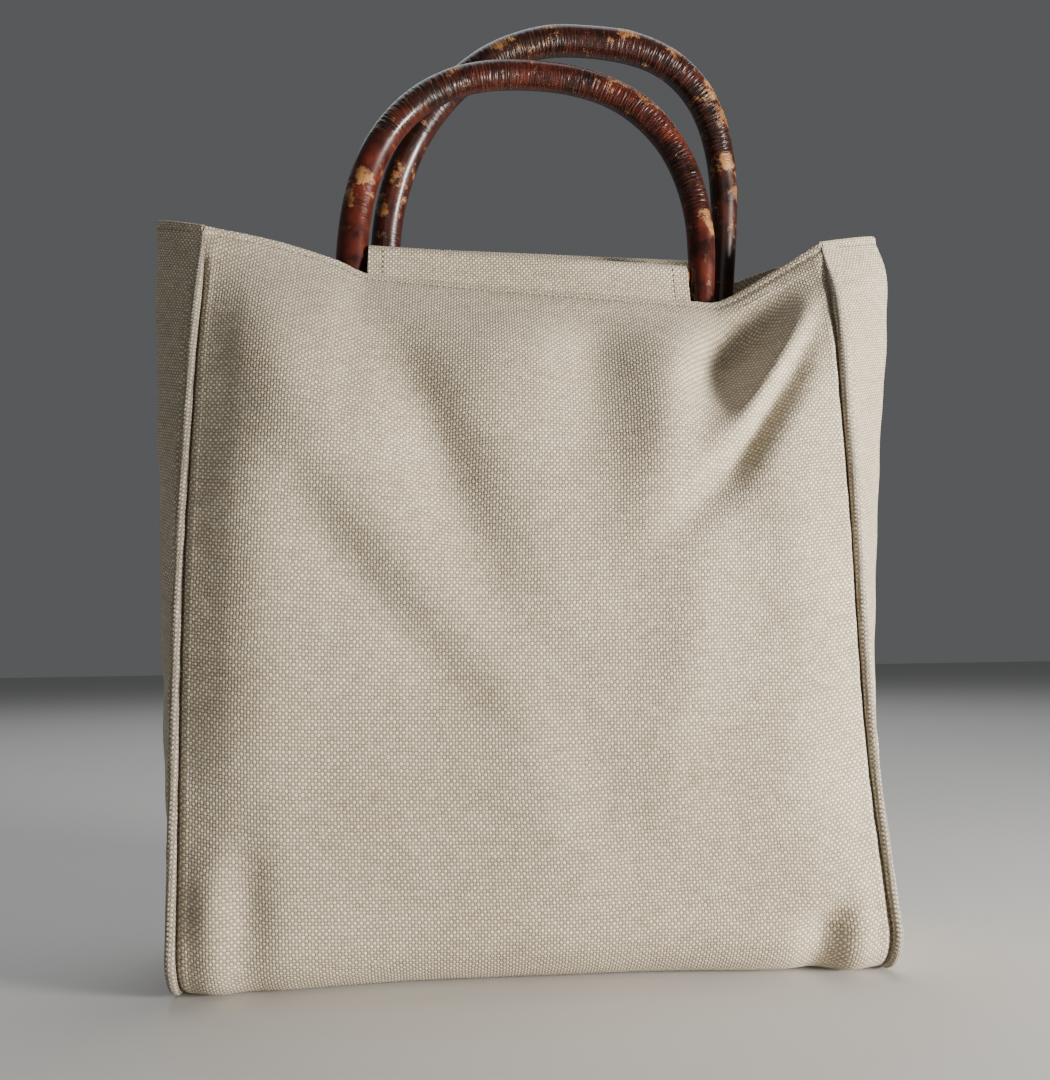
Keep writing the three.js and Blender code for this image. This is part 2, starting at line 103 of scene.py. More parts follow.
# The relief of the cloth's looks: how far it stands out or dips in
PANEL_SLACK = 0.5
PANEL_PUCKER = 0.35
PANEL_RIDGE = 0.4
PANEL_TUCK = 3.2
PANEL_STITCH_DIP = 0.55
HEM_PLY = 0.35
GUSSET_SLACK = 0.6
GUSSET_PUCKER = 0.5
GUSSET_RIDGE = 1.7
GUSSET_CREASE = 1.2
GUSSET_TUCK = 2.2
GUSSET_STITCH_DIP = 0.35

# Seeds of the waves, which keep every run the same
PANEL_SEED = 11
GUSSET_SEED = 30
GUSSET_PUCKER_SEED = 33
PIPING_SEED = 50
FRONT_STICK_SEED = 70
REAR_STICK_SEED = 80

# Steps of the cloth's lattices, finer within FINE_HEM of a hem and FINE_SEAM of a seam
FINE_HEM = 16
FINE_SEAM = 9
FINE_ROWS = 22
FRONT_ROWS = 104
BACK_ROWS = 66
ROLL_ROWS = 12
BOTTOM_ROWS = 15
FINE_COLUMNS = 12
SIDE_COLUMNS = 24
TAB_COLUMNS = 60
TAB_TURNS = 26
PLY_STEPS = 9
GUSSET_ROWS = 120
GUSSET_FINE_ROWS = 20
GUSSET_COLUMNS = 40
GUSSET_FINE_COLUMNS = 18
GUSSET_FINE_SHARE = 0.1
PIPING_SIDES = 18
STICK_RINGS = 420
STICK_SIDES = 44


def table(columns, *rows):
    """A short table as one array for each named column."""
    return {name: np.array([row[i] for row in rows], dtype=float) for i, name in enumerate(columns.split())}


# At shares of the front's height: how far out its seams and its middle lie, and how wide the roll is
FRONT_SECTIONS = table(
    "height seam middle roll",
    (0.0, 1.0, 0.86, 0.26),
    (0.15, 1.0, 0.95, 0.26),
    (0.32, 1.0, 1.0, 0.26),
    (0.5, 0.96, 0.975, 0.26),
    (0.61, 0.89, 0.93, 0.28),
    (0.73, 0.765, 0.83, 0.32),
    (0.79, 0.69, 0.745, 0.36),
    (0.85, 0.575, 0.6, 0.42),
    (0.905, 0.45, 0.415, 0.46),
    (0.953, 0.335, 0.205, 0.48),
    (1.0, 0.23, 0.0, 0.5),
)
# At shares of the height: how far across both seams lie, and how far a gusset stands out
SIDE_SECTIONS = table(
    "height left right bulge",
    (0.0, 1.0, 1.01, 0.03),
    (0.09, 1.0, 0.99, 0.08),
    (0.24, 1.0, 0.962, 0.155),
    (0.45, 1.0, 0.952, 0.205),
    (0.74, 0.997, 0.965, 0.29),
    (0.9, 1.0, 0.985, 0.34),
    (1.0, 1.005, 0.975, 0.37),
)
# The hem's height as a share of the panel's. The tab ends at -1 and 1, and the seams are at -2 and 2
HEM_SECTIONS = table(
    "across front back",
    (-2.0, 1.005, 1.0),
    (-1.58, 0.991, 0.99),
    (-1.2, 0.967, 0.967),
    (-1.0, 0.948, 0.935),
    (1.0, 0.913, 0.925),
    (1.22, 0.912, 0.952),
    (1.6, 0.95, 0.98),
    (2.0, 0.995, 1.0),
)
# Folds, as shares of the bag's sizes: place across and up, turn in degrees, length, width and how far out
FRONT_FOLDS = table(
    "across up turn long wide out",
    (-0.56, 0.69, -55, 0.27, 0.075, 0.06),
    (-0.3, 0.74, -68, 0.19, 0.05, -0.075),
    (-0.1, 0.85, 90, 0.09, 0.06, 0.025),
    (0.2, 0.86, 85, 0.14, 0.06, -0.08),
    (0.42, 0.79, 72, 0.14, 0.045, 0.06),
    (0.65, 0.9, 50, 0.14, 0.055, -0.18),
    (0.76, 0.85, 45, 0.12, 0.02, 0.055),
    (0.68, 0.76, 47, 0.15, 0.026, -0.075),
    (-0.4, 0.49, -48, 0.18, 0.04, -0.035),
    (-0.75, 0.44, 90, 0.48, 0.075, 0.032),
    (-0.91, 0.1, 90, 0.07, 0.03, 0.055),
    (-0.79, 0.12, 90, 0.09, 0.028, -0.03),
    (0.42, 0.42, 80, 0.2, 0.05, 0.02),
    (0.0, 0.3, -70, 0.16, 0.06, 0.02),
    (0.76, 0.06, 33, 0.06, 0.022, -0.055),
    (0.91, 0.07, 90, 0.06, 0.03, 0.04),
)
BACK_FOLDS = table(
    "across up turn long wide out",
    (-0.5, 0.74, 60, 0.2, 0.06, -0.04),
    (0.55, 0.72, -62, 0.2, 0.06, -0.04),
)

HALF_WIDTH = PANEL_WIDTH / 2
HALF_DEPTH = BAG_DEPTH / 2
PIPING_RADIUS = PIPING_DIAMETER / 2
SEAM_FLOOR = PIPING_RADIUS + GROUND_CLEARANCE
THICKEST_ROD = max(LEFT_ROD, RIGHT_ROD) / 2
TAB_HALF_WIDTH = HANDLE_SPAN / 2 - THICKEST_ROD - TAB_CLEARANCE
TAB_SHARE = TAB_HALF_WIDTH / HALF_WIDTH
CASING_RADIUS = BAR_DIAMETER / 2 + BAR_CLEARANCE + WALL / 2
CLOTH_INSET = PIPING_RADIUS - 0.3


def mix(a, b, share):
    return a + (b - a) * share


def smooth(value, low, high):
    t = np.clip((value - low) / (high - low), 0, 1)
    return t * t * (3 - 2 * t)


def hill(value, middle, width):
    """A soft hill of height 1."""
    return np.exp(-(((value - middle) / width) ** 2))


def stack(x, y, z):
    return np.stack(np.broadcast_arrays(x, y, z), axis=-1).astype(float)


def bar_to_cloth(lean):
    """From a bar's axis out to the middle of the cloth that the feet of its arch just clear."""
    turn = math.radians(lean)
    return FOOT_DROP * math.sin(turn) + THICKEST_ROD * math.cos(turn) + FOOT_CLEARANCE + WALL / 2


FRONT_FOOT_OUT = bar_to_cloth(0) - FRONT_BAR_Y
BACK_FOOT_OUT = HALF_DEPTH + BACK_BULGE * 0.6
REAR_BAR_Y = BACK_FOOT_OUT - bar_to_cloth(REAR_LEAN)


def read(rows, place, column, at):
    """One column of a table at any places, along a smooth curve through its rows."""
    places, values = rows[place], rows[column]
    count = np.arange(len(places))
    before, after = np.maximum(count - 1, 0), np.minimum(count + 1, len(places) - 1)
    slopes = (values[after] - values[before]) / (places[after] - places[before])
    row = np.clip(np.searchsorted(places, at, side="left") - 1, 0, len(places) - 2)
    step = places[row + 1] - places[row]
    t = np.clip((at - places[row]) / step, 0, 1)
    rise = values[row + 1] - values[row]
    start = slopes[row] * step - rise
    end = rise - slopes[row + 1] * step
    return values[row] + t * rise + t * (1 - t) * ((1 - t) * start + t * end)


class Panel:
    """The front or the back, with what makes it differ from the other."""

    def __init__(self, side, shift, height, hem, folds, bar_y, tab_rise, bar_drop):
        self.side = side
        self.shift = shift
        self.height = height
        self.hem = hem
        self.folds = folds
        self.centre = HANDLE_OFFSET + shift
        self.bar_y = bar_y
        self.bar_height = self.hem_at(np.array([-TAB_SHARE, TAB_SHARE])).mean() + tab_rise
        self.bar_drop = bar_drop

    def hem_at(self, u):
        """The hem's height at a column, from -1 at the left seam to 1 at the right one."""
        beyond = np.sign(u) * (1 + (np.abs(u) - TAB_SHARE) / (1 - TAB_SHARE))
        place = np.where(np.abs(u) <= TAB_SHARE, u / TAB_SHARE, beyond)
        return self.height * read(HEM_SECTIONS, "across", self.hem, place)

    def seam_out(self, up):
        if self.side > 0:
            return HALF_DEPTH + 0 * up
        return HALF_DEPTH * read(FRONT_SECTIONS, "height", "seam", up)

    def middle_out(self, up):
        if self.side > 0:
            return mix(HALF_DEPTH + BACK_BULGE, BACK_FOOT_OUT, up)
        belly = HALF_DEPTH + BELLY_BULGE
        return mix(FRONT_FOOT_OUT, belly, read(FRONT_SECTIONS, "height", "middle", up))

    def roll_width(self, up):
        if self.side > 0:
            return HALF_WIDTH * 0.3 + 0 * up
        return HALF_WIDTH * read(FRONT_SECTIONS, "height", "roll", up)

    def seam(self, hand, up):
        """The seam's centre line on one side, from the end of the bottom's roll (0) to the top (1)."""
        share = read(SIDE_SECTIONS, "height", "left" if hand < 0 else "right", up)
        top = self.hem_at(np.array(float(hand)))
        x = hand * share * HALF_WIDTH + self.shift * up
        return stack(x, self.side * self.seam_out(up), mix(SEAM_FLOOR + CORNER_RADIUS, top, up))


FRONT = Panel(-1, 0, FRONT_HEIGHT, "front", FRONT_FOLDS, FRONT_BAR_Y, FRONT_TAB_RISE, FRONT_BAR_DROP)
BACK = Panel(1, BACK_SHIFT, BACK_HEIGHT, "back", BACK_FOLDS, REAR_BAR_Y, REAR_TAB_RISE, REAR_BAR_DROP)


def folds_at(panel, x, z, height):
    """The sum of a panel's folds at places on it. They fade out towards the hem."""
    total = 0 * x
    folds = panel.folds
    for i in range(len(folds["out"])):
        dx = x - folds["across"][i] * HALF_WIDTH
        dz = z - folds["up"][i] * height
        turn = math.radians(folds["turn"][i])
        along = (dx * math.cos(turn) + dz * math.sin(turn)) / (folds["long"][i] * PANEL_WIDTH)
        aside = (dz * math.cos(turn) - dx * math.sin(turn)) / (folds["wide"][i] * PANEL_WIDTH)
        total = total + folds["out"][i] * BAG_DEPTH * np.exp(-along * along - aside * aside)
    return total * smooth(height - z, 0, FOLD_FADE * height)


def waves(x, z, seed, longest, shortest, count):
    """Soft waves in all directions, of height about 1."""
    rng = np.random.default_rng(seed)
    total = 0 * x
    for _ in range(count):
        turn, phase = rng.uniform(0, math.pi), rng.uniform(0, 2 * math.pi)
        pitch = rng.uniform(shortest, longest)
        total = total + np.sin((x * math.cos(turn) + z * math.sin(turn)) * 2 * math.pi / pitch + phase)
    return total / math.sqrt(count)


def cloth_inset(below_top):
    """How far the cloth's edge lies from the seam's centre line. At the top it closes over the piping."""
    return CLOTH_INSET * mix(0.3, 1, smooth(below_top, 3, 32))


def edge_inset(panel, up):
    """The inset of a panel's edge, measured across the bag."""
    slope = 2 * (panel.middle_out(up) - panel.seam_out(up)) / panel.roll_width(up)
    return cloth_inset((1 - up) * panel.height) / np.hypot(1, slope)


def across_at(panel, u, up):
    """Where a column lies across the bag. The columns lead up to the ends of the tab."""
    left, right = panel.seam(-1, up)[..., 0], panel.seam(1, up)[..., 0]
    low = mix(left, right, (u + 1) / 2)
    tab_left, tab_right = panel.centre - TAB_HALF_WIDTH, panel.centre + TAB_HALF_WIDTH
    inside = mix(tab_left, tab_right, (u / TAB_SHARE + 1) / 2)
    outer_left = mix(left, tab_left, (u + 1) / (1 - TAB_SHARE))
    outer_right = mix(tab_right, right, (u - TAB_SHARE) / (1 - TAB_SHARE))
    top = np.where(u < -TAB_SHARE, outer_left, np.where(u > TAB_SHARE, outer_right, inside))
    inset = edge_inset(panel, up)
    return np.clip(mix(low, top, up * up), left + inset, right - inset)


def bottom_height(u):
    to_seam = np.maximum(0, 1 - (1 - np.abs(u)) * HALF_WIDTH / EDGE_LIFT)
    return mix(WALL / 2, SEAM_FLOOR, to_seam * to_seam)


def roll_radius(u):
    return mix(BOTTOM_ROLL, CORNER_RADIUS, u * u)


def relief(panel, x, z, hem, from_seam, seed):
    """What the looks add to a panel: slack in the cloth, puckers at the seams, and the stitched hem."""
    below = hem - z
    slack = PANEL_SLACK * waves(x, z, seed, 120, 45, 12) * smooth(from_seam, 4, 40) * smooth(below, 10, 60)
    pucker = PANEL_PUCKER * waves(x * 0.4, z, seed + 1, 26, 12, 5) * hill(from_seam, 7, 7)
    ridge = PANEL_RIDGE * hill(from_seam, 5.2, 2.2) * smooth(below, 6, 34)
    ridge = ridge - PANEL_TUCK * hill(from_seam, cloth_inset(below), 2.1) * smooth(below, 1, 40)
    doubled = HEM_PLY * smooth(-below, -HEM_DEPTH - 1.5, -HEM_DEPTH + 1.5)
    groove = -PANEL_STITCH_DIP * hill(below, STITCH_BELOW, 1.3)
    return slack + pucker + ridge + doubled + groove


def panel_points(panel, u, up):
    """Places half way through a panel's cloth."""
    x = across_at(panel, u, up)
    left, right = panel.seam(-1, up)[..., 0], panel.seam(1, up)[..., 0]
    from_seam = np.minimum(x - left, right - x)
    hem = panel.hem_at(u)
    z = mix(bottom_height(u) + roll_radius(u), hem, up)
    to_seam = np.maximum(0, 1 - from_seam / panel.roll_width(up))
    out = mix(panel.middle_out(up), panel.seam_out(up), to_seam * to_seam)
    settled = folds_at(panel, x - panel.shift * up, z, hem) * np.clip(from_seam / EDGE_LIFT, 0, 1)
    added = relief(panel, x, z, hem, from_seam, PANEL_SEED + panel.side)
    return stack(x, panel.side * (out + settled + added), z)


def roll_points(panel, u, turned):
    """Places on the roll under a panel, from the panel (0) to the bottom (1)."""
    start = panel_points(panel, u, 0 * turned)
    radius = roll_radius(u)
    angle = turned * math.pi / 2
    start[..., 1] -= panel.side * radius * (1 - np.cos(angle))
    start[..., 2] -= radius * np.sin(angle)
    return start


def bar_height_at(panel, x):
    return panel.bar_height - (x - panel.centre) / (2 * TAB_HALF_WIDTH) * panel.bar_drop


def tab_rows(panel, u):
    """The tab's rows above the panel: up round the bar and down to the end that is sewn behind the foot."""
    foot = panel_points(panel, u, 1 + 0 * u)
    bar_z = bar_height_at(panel, foot[:, 0])
    foot_in = (panel.bar_y - foot[:, 1]) * panel.side
    foot_below = foot[:, 2] - bar_z

    def at(inwards, above):
        return stack(foot[:, 0], panel.bar_y - panel.side * inwards, bar_z + above)

    ply = WALL + 2 * SEAM_GAP
    lap_share = TAB_LAP / -foot_below
    lap_in = mix(foot_in, -CASING_RADIUS, lap_share) + ply
    lap_above = mix(foot_below, 0, lap_share)
    lap_angle = 2 * math.pi - np.arctan2(-lap_above, -lap_in)
    turn = lap_angle - np.arccos(CASING_RADIUS / np.hypot(lap_in, lap_above))
    rows = []
    for i in range(1, PLY_STEPS):
        share = i / PLY_STEPS
        rows.append(at(mix(foot_in, -CASING_RADIUS, share), mix(foot_below, 0, share)))
    for i in range(TAB_TURNS + 1):
        angle = i / TAB_TURNS * turn
        rows.append(at(-CASING_RADIUS * np.cos(angle), CASING_RADIUS * np.sin(angle)))
    last_in, last_above = -CASING_RADIUS * np.cos(turn), CASING_RADIUS * np.sin(turn)
    for i in range(1, 6):
        rows.append(at(mix(last_in, lap_in, i / 5), mix(last_above, lap_above, i / 5)))
    rows.append(at(mix(lap_in, foot_in + ply, 0.5), mix(lap_above, foot_below + 1, 0.5)))
    rows.append(at(foot_in + ply, foot_below + 1))
    return np.array(rows)


def hem_rows(edge, below, inwards):
    """The rows of a hem turned over the edge and down inside. below is the row under the edge."""
    radius = CLOTH / 2
    up = edge - below
    up /= np.linalg.norm(up, axis=-1, keepdims=True)
    side = inwards - up * (inwards * up).sum(axis=-1, keepdims=True)
    side /= np.linalg.norm(side, axis=-1, keepdims=True)
    rows = []
    for angle in np.linspace(0, math.pi, 8)[1:]:
        rows.append(edge + up * radius * math.sin(angle) + side * radius * (1 - math.cos(angle)))
    for down in np.linspace(0, HEM_DEPTH, 6)[1:]:
        rows.append(edge + side * 2 * radius - up * down)
    return np.array(rows)


def path_lengths(rows):
    """The running length along each column of a lattice, from its first row."""
    steps = np.linalg.norm(np.diff(rows, axis=0), axis=-1)
    return np.concatenate([np.zeros((1, rows.shape[1])), np.cumsum(steps, axis=0)])


class Sheet:
    """A cloth's middle surface, put together from lattices of points that share their edges."""

    def __init__(self):
        self.points = np.zeros((0, 3))
        self.flat = np.zeros((0, 2))
        self.quads = np.zeros((0, 4), dtype=int)

    def add(self, rows, flat, first=None):
        """Adds a lattice and gives its vertex numbers. first are those of a row that it is sewn on by."""
        new = rows if first is None else rows[1:]
        new_flat = flat if first is None else flat[1:]
        start = len(self.points)
        ids = start + np.arange(new.shape[0] * new.shape[1]).reshape(new.shape[:2])
        if first is not None:
            ids = np.concatenate([first[None], ids])
        self.points = np.concatenate([self.points, new.reshape(-1, 3)])
        self.flat = np.concatenate([self.flat, new_flat.reshape(-1, 2)])
        cells = np.stack([ids[:-1, :-1], ids[:-1, 1:], ids[1:, 1:], ids[1:, :-1]], axis=-1)
        self.quads = np.concatenate([self.quads, cells.reshape(-1, 4)])
        return ids

    def normals(self):
        a, b, c, d = (self.points[self.quads[:, k]] for k in range(4))
        facing = np.cross(c - a, d - b)
        total = np.zeros_like(self.points)
        for k in range(4):
            np.add.at(total, self.quads[:, k], facing)
        return total / np.linalg.norm(total, axis=1, keepdims=True)

    def wall(self, thickness):
        """Points, faces and flat places of the cloth with its thickness."""
        normals = self.normals()
        count = len(self.points)
        half = normals * thickness / 2
        points = np.concatenate([self.points + half, self.points - half])
        sides = ([0, 1], [1, 2], [2, 3], [3, 0])
        edges = np.concatenate([self.quads[:, ends] for ends in sides])
        free = edges[~np.isin(edges[:, 0] * count + edges[:, 1], edges[:, 1] * count + edges[:, 0])]
        rim = np.stack([free[:, 1], free[:, 0], free[:, 0] + count, free[:, 1] + count], axis=1)
        faces = np.concatenate([self.quads, self.quads[:, ::-1] + count, rim])
        return points, faces, np.concatenate([self.flat, self.flat])


def place_shift():
    """From the bag's own frame to the row's, in metres, by the boxes of the piping."""
    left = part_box("piping_left")[0]
    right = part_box("piping_right")[1]
    paths = [piping_path(hand) for hand in (-1, 1)]
    low = min(path[:, 0].min() for path in paths) - PIPING_RADIUS
    high = max(path[:, 0].max() for path in paths) + PIPING_RADIUS
    front = min(path[:, 1].min() for path in paths) - PIPING_RADIUS
    x = (left[0] + right[0]) / 2 - (low + high) / 2000
    y = min(left[1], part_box("piping_right")[0][1]) - front / 1000
    return np.array([x, y, 0])


def make_mesh(name, points, faces, flat=None, smooth_angle=50):
    """A mesh object in the row's frame, from points and their places on the flat cloth in millimetres."""
    mesh = bpy.data.meshes.new(name)
    mesh.from_pydata((points / 1000 + SHIFT).tolist(), [], [tuple(face) for face in faces.tolist()])
    mesh.polygons.foreach_set("use_smooth", [True] * len(mesh.polygons))
    mesh.set_sharp_from_angle(angle=math.radians(smooth_angle))
    if flat is not None:
        layer = mesh.uv_layers.new(name="flat")
        corners = np.zeros(len(mesh.loops), dtype=int)
        mesh.loops.foreach_get("vertex_index", corners)
        layer.data.foreach_set("uv", (flat[corners] / 1000).ravel())
    thing = bpy.data.objects.new(name, mesh)
    bpy.context.scene.collection.objects.link(thing)
    return thing


def close_to_edges(start, end, count, edge, edge_count):
    """Numbers from start to end, closer together within edge of the start."""
    near = np.linspace(start, start + edge, edge_count + 1)[:-1]
    far = np.linspace(start + edge, end, count + 1)
    return np.concatenate([near, far])


def strip_columns():
    left = close_to_edges(-1, -TAB_SHARE, SIDE_COLUMNS, FINE_SEAM / HALF_WIDTH, FINE_COLUMNS)
    middle = np.linspace(-TAB_SHARE, TAB_SHARE, TAB_COLUMNS + 1)
    return np.concatenate([left, middle[1:-1], -left[::-1]]), len(left) - 1


def body_sheet():
    """The strip of cloth: front, bottom and back, with both tabs and the turned hems beside them."""
    u, tab_start = strip_columns()
    tab_end = len(u) - 1 - tab_start
    rise = 1 - close_to_edges(0, 1, FRONT_ROWS, FINE_HEM / FRONT_HEIGHT, FINE_ROWS)
    lower = np.linspace(0, 1, ROLL_ROWS + 1)[1:]
    across, down = np.meshgrid(u, rise)
    front = panel_points(FRONT, across, down)
    front_roll = roll_points(FRONT, *np.meshgrid(u, lower))
    back_roll = roll_points(BACK, *np.meshgrid(u, lower[::-1]))
    shares = np.linspace(0, 1, BOTTOM_ROWS + 1)[1:-1]
    bottom = np.array([mix(front_roll[-1], back_roll[0], share) for share in shares])
    rise_back = close_to_edges(0, 1, BACK_ROWS, FINE_HEM / BACK_HEIGHT, FINE_ROWS)[::-1]
    back = panel_points(BACK, *np.meshgrid(u, 1 - rise_back))
    rows = np.concatenate([front, front_roll, bottom, back_roll, back])
    lengths = path_lengths(rows)
    middle = len(front) + len(front_roll)
    lengths = lengths - lengths[middle]
    flat = np.stack([np.broadcast_to(u * HALF_WIDTH, lengths.shape), -lengths], axis=-1)
    sheet = Sheet()
    ids = sheet.add(rows, flat)
    tab = slice(tab_start, tab_end + 1)
    for panel, row, under, sign in ((FRONT, 0, 1, 1), (BACK, -1, -2, -1)):
        parts = [(tab, tab_rows(panel, u[tab]))]
        for part in (slice(0, tab_start), slice(tab_end + 1, len(u))):
            inwards = stack(0 * u[part], -panel.side + 0 * u[part], 0 * u[part])
            parts.append((part, hem_rows(rows[row, part], rows[under, part], inwards)))
        for part, above in parts:
            above = np.concatenate([rows[row, part][None], above])
            beyond = np.stack([0 * above[..., 0], sign * path_lengths(above)], axis=-1)
            added = flat[row, part][None] + beyond
            sewn = ids[row, part]
            if sign > 0:
                above, added, sewn = above[:, ::-1], added[:, ::-1], sewn[::-1]
            sheet.add(above, added, sewn)
    return sheet


def seam_at_height(panel, hand, z):
    """The seam's centre line at heights: the corner's arc below, the panel's seam above."""
    round_top = SEAM_FLOOR + CORNER_RADIUS
    top = panel.seam(hand, np.array(1.0))[2]
    up = np.clip((z - round_top) / (top - round_top), 0, 1)
    point = panel.seam(hand, up)
    below = np.clip((round_top - z) / CORNER_RADIUS, 0, 1)
    point[..., 1] -= panel.side * CORNER_RADIUS * (1 - np.sqrt(1 - below * below))
    point[..., 2] = z
    return point, up


def gusset_points(hand, share, across):
    """Places on a gusset. share runs down from its top, across from its front edge (0) to its back (1)."""
    tops = [panel.seam(hand, np.array(1.0))[2] for panel in (FRONT, BACK)]
    bottom = SEAM_FLOOR + CLOTH_INSET
    a, up = seam_at_height(FRONT, hand, mix(tops[0], bottom, share))
    b, _ = seam_at_height(BACK, hand, mix(tops[1], bottom, share))
    from_top = share * (tops[0] - bottom)
    bulge = BAG_DEPTH * read(SIDE_SECTIONS, "height", "bulge", up)
    bulge = bulge - (TOP_ROUNDING if hand > 0 else 0) * hill(from_top, 0, 13)
    straight = b - a
    swell = stack(hand * bulge, 0 * bulge, GUSSET_RISE * (1 - share))
    width = np.linalg.norm(straight, axis=-1)
    stretch = np.hypot(1, math.pi * bulge / width)
    inset = cloth_inset(from_top)
    cut = inset / (width * stretch)
    t = mix(cut, 1 - cut, across[:, None])
    points = a + straight * t[..., None] + swell * np.sin(math.pi * t)[..., None]
    from_seam = np.minimum(t, 1 - t) * width * stretch
    y, z = points[..., 1], points[..., 2]
    soft = smooth(from_top, 8, 50)
    puckers = waves(y * 0.3, z, GUSSET_PUCKER_SEED + hand, 30, 14, 5)
    out = GUSSET_SLACK * waves(y, z, GUSSET_SEED + hand, 90, 35, 10) * smooth(from_seam, 4, 25) * soft
    out += GUSSET_PUCKER * puckers * hill(from_seam, 8, 8) * soft
    fold = GUSSET_RIDGE * hill(from_seam, 4.6, 1.9) - GUSSET_CREASE * hill(from_seam, 7.8, 1.3)
    out += fold * smooth(from_top, 8, 36)
    out -= GUSSET_TUCK * hill(from_seam, inset, 1.5) * smooth(from_top, 1, 50)
    out -= GUSSET_STITCH_DIP * hill(from_top, STITCH_BELOW, 1.1)
    points[..., 0] += hand * out
    return points


def gusset_sheet(hand):
    """A gusset between its two seams, standing out between them, with its top hem turned in."""
    share = close_to_edges(0, 1, GUSSET_ROWS, FINE_HEM / FRONT_HEIGHT, GUSSET_FINE_ROWS)
    edge = np.linspace(0, GUSSET_FINE_SHARE, GUSSET_FINE_COLUMNS + 1)[:-1]
    inner = np.linspace(GUSSET_FINE_SHARE, 1 - GUSSET_FINE_SHARE, GUSSET_COLUMNS + 1)
    across = np.concatenate([edge, inner, 1 - edge[::-1]])
    rows = gusset_points(hand, share, across).transpose(1, 0, 2)
    if hand < 0:
        rows = rows[:, ::-1]
    lengths = path_lengths(rows)
    widths = path_lengths(rows.transpose(1, 0, 2)).T
    flat = np.stack([widths - widths[:, -1:] / 2, -lengths], axis=-1)
    sheet = Sheet()
    ids = sheet.add(rows, flat)
    inwards = stack(-hand + 0 * rows[0, :, 0], 0 * rows[0, :, 0], 0 * rows[0, :, 0])
    above = np.concatenate([rows[:1], hem_rows(rows[0], rows[1], inwards)])
    added = flat[0][None] + np.stack([0 * above[..., 0], path_lengths(above)], axis=-1)
    sheet.add(above[:, ::-1], added[:, ::-1], ids[0][::-1])
    return sheet


def piping_path(hand):
    """Down one front seam, round both bottom corners and up the back seam."""
    up = np.linspace(1 - PIPING_TOP_GAP / FRONT_HEIGHT, 0, 190)
    turn = np.linspace(0, math.pi / 2, 20)

    def corner(panel):
        point = panel.seam(hand, 0 * turn)
        point[:, 1] -= panel.side * CORNER_RADIUS * (1 - np.cos(turn))
        point[:, 2] -= CORNER_RADIUS * np.sin(turn)
        return point

    bottom_front, bottom_back = corner(FRONT)[-1], corner(BACK)[-1]
    along = np.array([mix(bottom_front, bottom_back, share) for share in np.linspace(0, 1, 40)[1:-1]])
    front = [FRONT.seam(hand, up[:-1]), corner(FRONT)]
    back = [corner(BACK)[::-1], BACK.seam(hand, up[::-1][1:])]
    return np.concatenate([*front, along, *back])


def rod_mesh(name, path, plane, radii, sides, around):
    """A rod along a path, with a radius for each ring and side. around is the flat width of its girth."""
    tangent = np.gradient(path, axis=0)
    tangent /= np.linalg.norm(tangent, axis=1, keepdims=True)
    in_plane = np.cross(tangent, plane)
    in_plane /= np.linalg.norm(in_plane, axis=1, keepdims=True)
    other = np.cross(in_plane, tangent)
    angle = np.linspace(0, 2 * math.pi, sides, endpoint=False)
    spread = in_plane[:, None] * np.cos(angle)[:, None] + other[:, None] * np.sin(angle)[:, None]
    points = path[:, None] + spread * radii[..., None]
    rings = len(path)
    ids = np.arange(rings * sides).reshape(rings, sides)
    nxt = np.roll(ids, -1, axis=1)
    quads = np.stack([ids[:-1], ids[1:], nxt[1:], nxt[:-1]], axis=-1).reshape(-1, 4)
    ends = [tuple(ids[0].tolist()), tuple(ids[-1][::-1].tolist())]
    faces = [tuple(face) for face in quads.tolist()] + ends
    mesh = bpy.data.meshes.new(name)
    mesh.from_pydata((points.reshape(-1, 3) / 1000 + SHIFT).tolist(), [], faces)
    mesh.polygons.foreach_set("use_smooth", [True] * len(mesh.polygons))
    mesh.set_sharp_from_angle(angle=math.radians(60))
    lengths = np.concatenate([[0], np.cumsum(np.linalg.norm(np.diff(path, axis=0), axis=1))])
    layer = mesh.uv_layers.new(name="flat")
    uv = np.zeros((len(mesh.loops), 2))
    low, high = lengths[:-1].repeat(sides), lengths[1:].repeat(sides)
    left = np.tile(np.arange(sides), rings - 1) / sides * around
    right = left + around / sides
    uv[: 4 * len(quads), 0] = np.stack([left, left, right, right], axis=1).ravel()
    uv[: 4 * len(quads), 1] = np.stack([low, high, high, low], axis=1).ravel()
    layer.data.foreach_set("uv", (uv / 1000).ravel())
    thing = bpy.data.objects.new(name, mesh)
    bpy.context.scene.collection.objects.link(thing)
    return thing


def piping_piece(hand):
    path = piping_path(hand)
    lengths = np.concatenate([[0], np.cumsum(np.linalg.norm(np.diff(path, axis=0), axis=1))])
    wobble = 0.1 * waves(lengths, 0 * lengths, PIPING_SEED + hand, 40, 12, 8)
    tucked = smooth(np.minimum(lengths, lengths[-1] - lengths), 4, 30)
    radius = mix(PIPING_RADIUS * 0.35, PIPING_RADIUS, tucked) + wobble
    above_corner = smooth(path[:, 2], SEAM_FLOOR, SEAM_FLOOR + CORNER_RADIUS)
    path[:, 1] += np.sign(path[:, 1]) * PIPING_OUT * tucked * above_corner
    radii = np.repeat(radius[:, None], PIPING_SIDES, axis=1)
    name = "piping_cord_left" if hand < 0 else "piping_cord_right"
    return rod_mesh(name, path, np.array([1.0, 0, 0]), radii, PIPING_SIDES, math.pi * PIPING_DIAMETER)


# Each stick's span, rise, bend to the right at the top, and the squareness of its left and right.
FRONT_STICK = (HANDLE_SPAN, FRONT_RISE, 0, ARCH_SQUARENESS, ARCH_SQUARENESS)
REAR_SPAN = HANDLE_SPAN + REAR_EXTRA_SPAN
REAR_STICK = (REAR_SPAN, REAR_RISE, REAR_SKEW, REAR_LEFT_SQUARENESS, REAR_RIGHT_SQUARENESS)

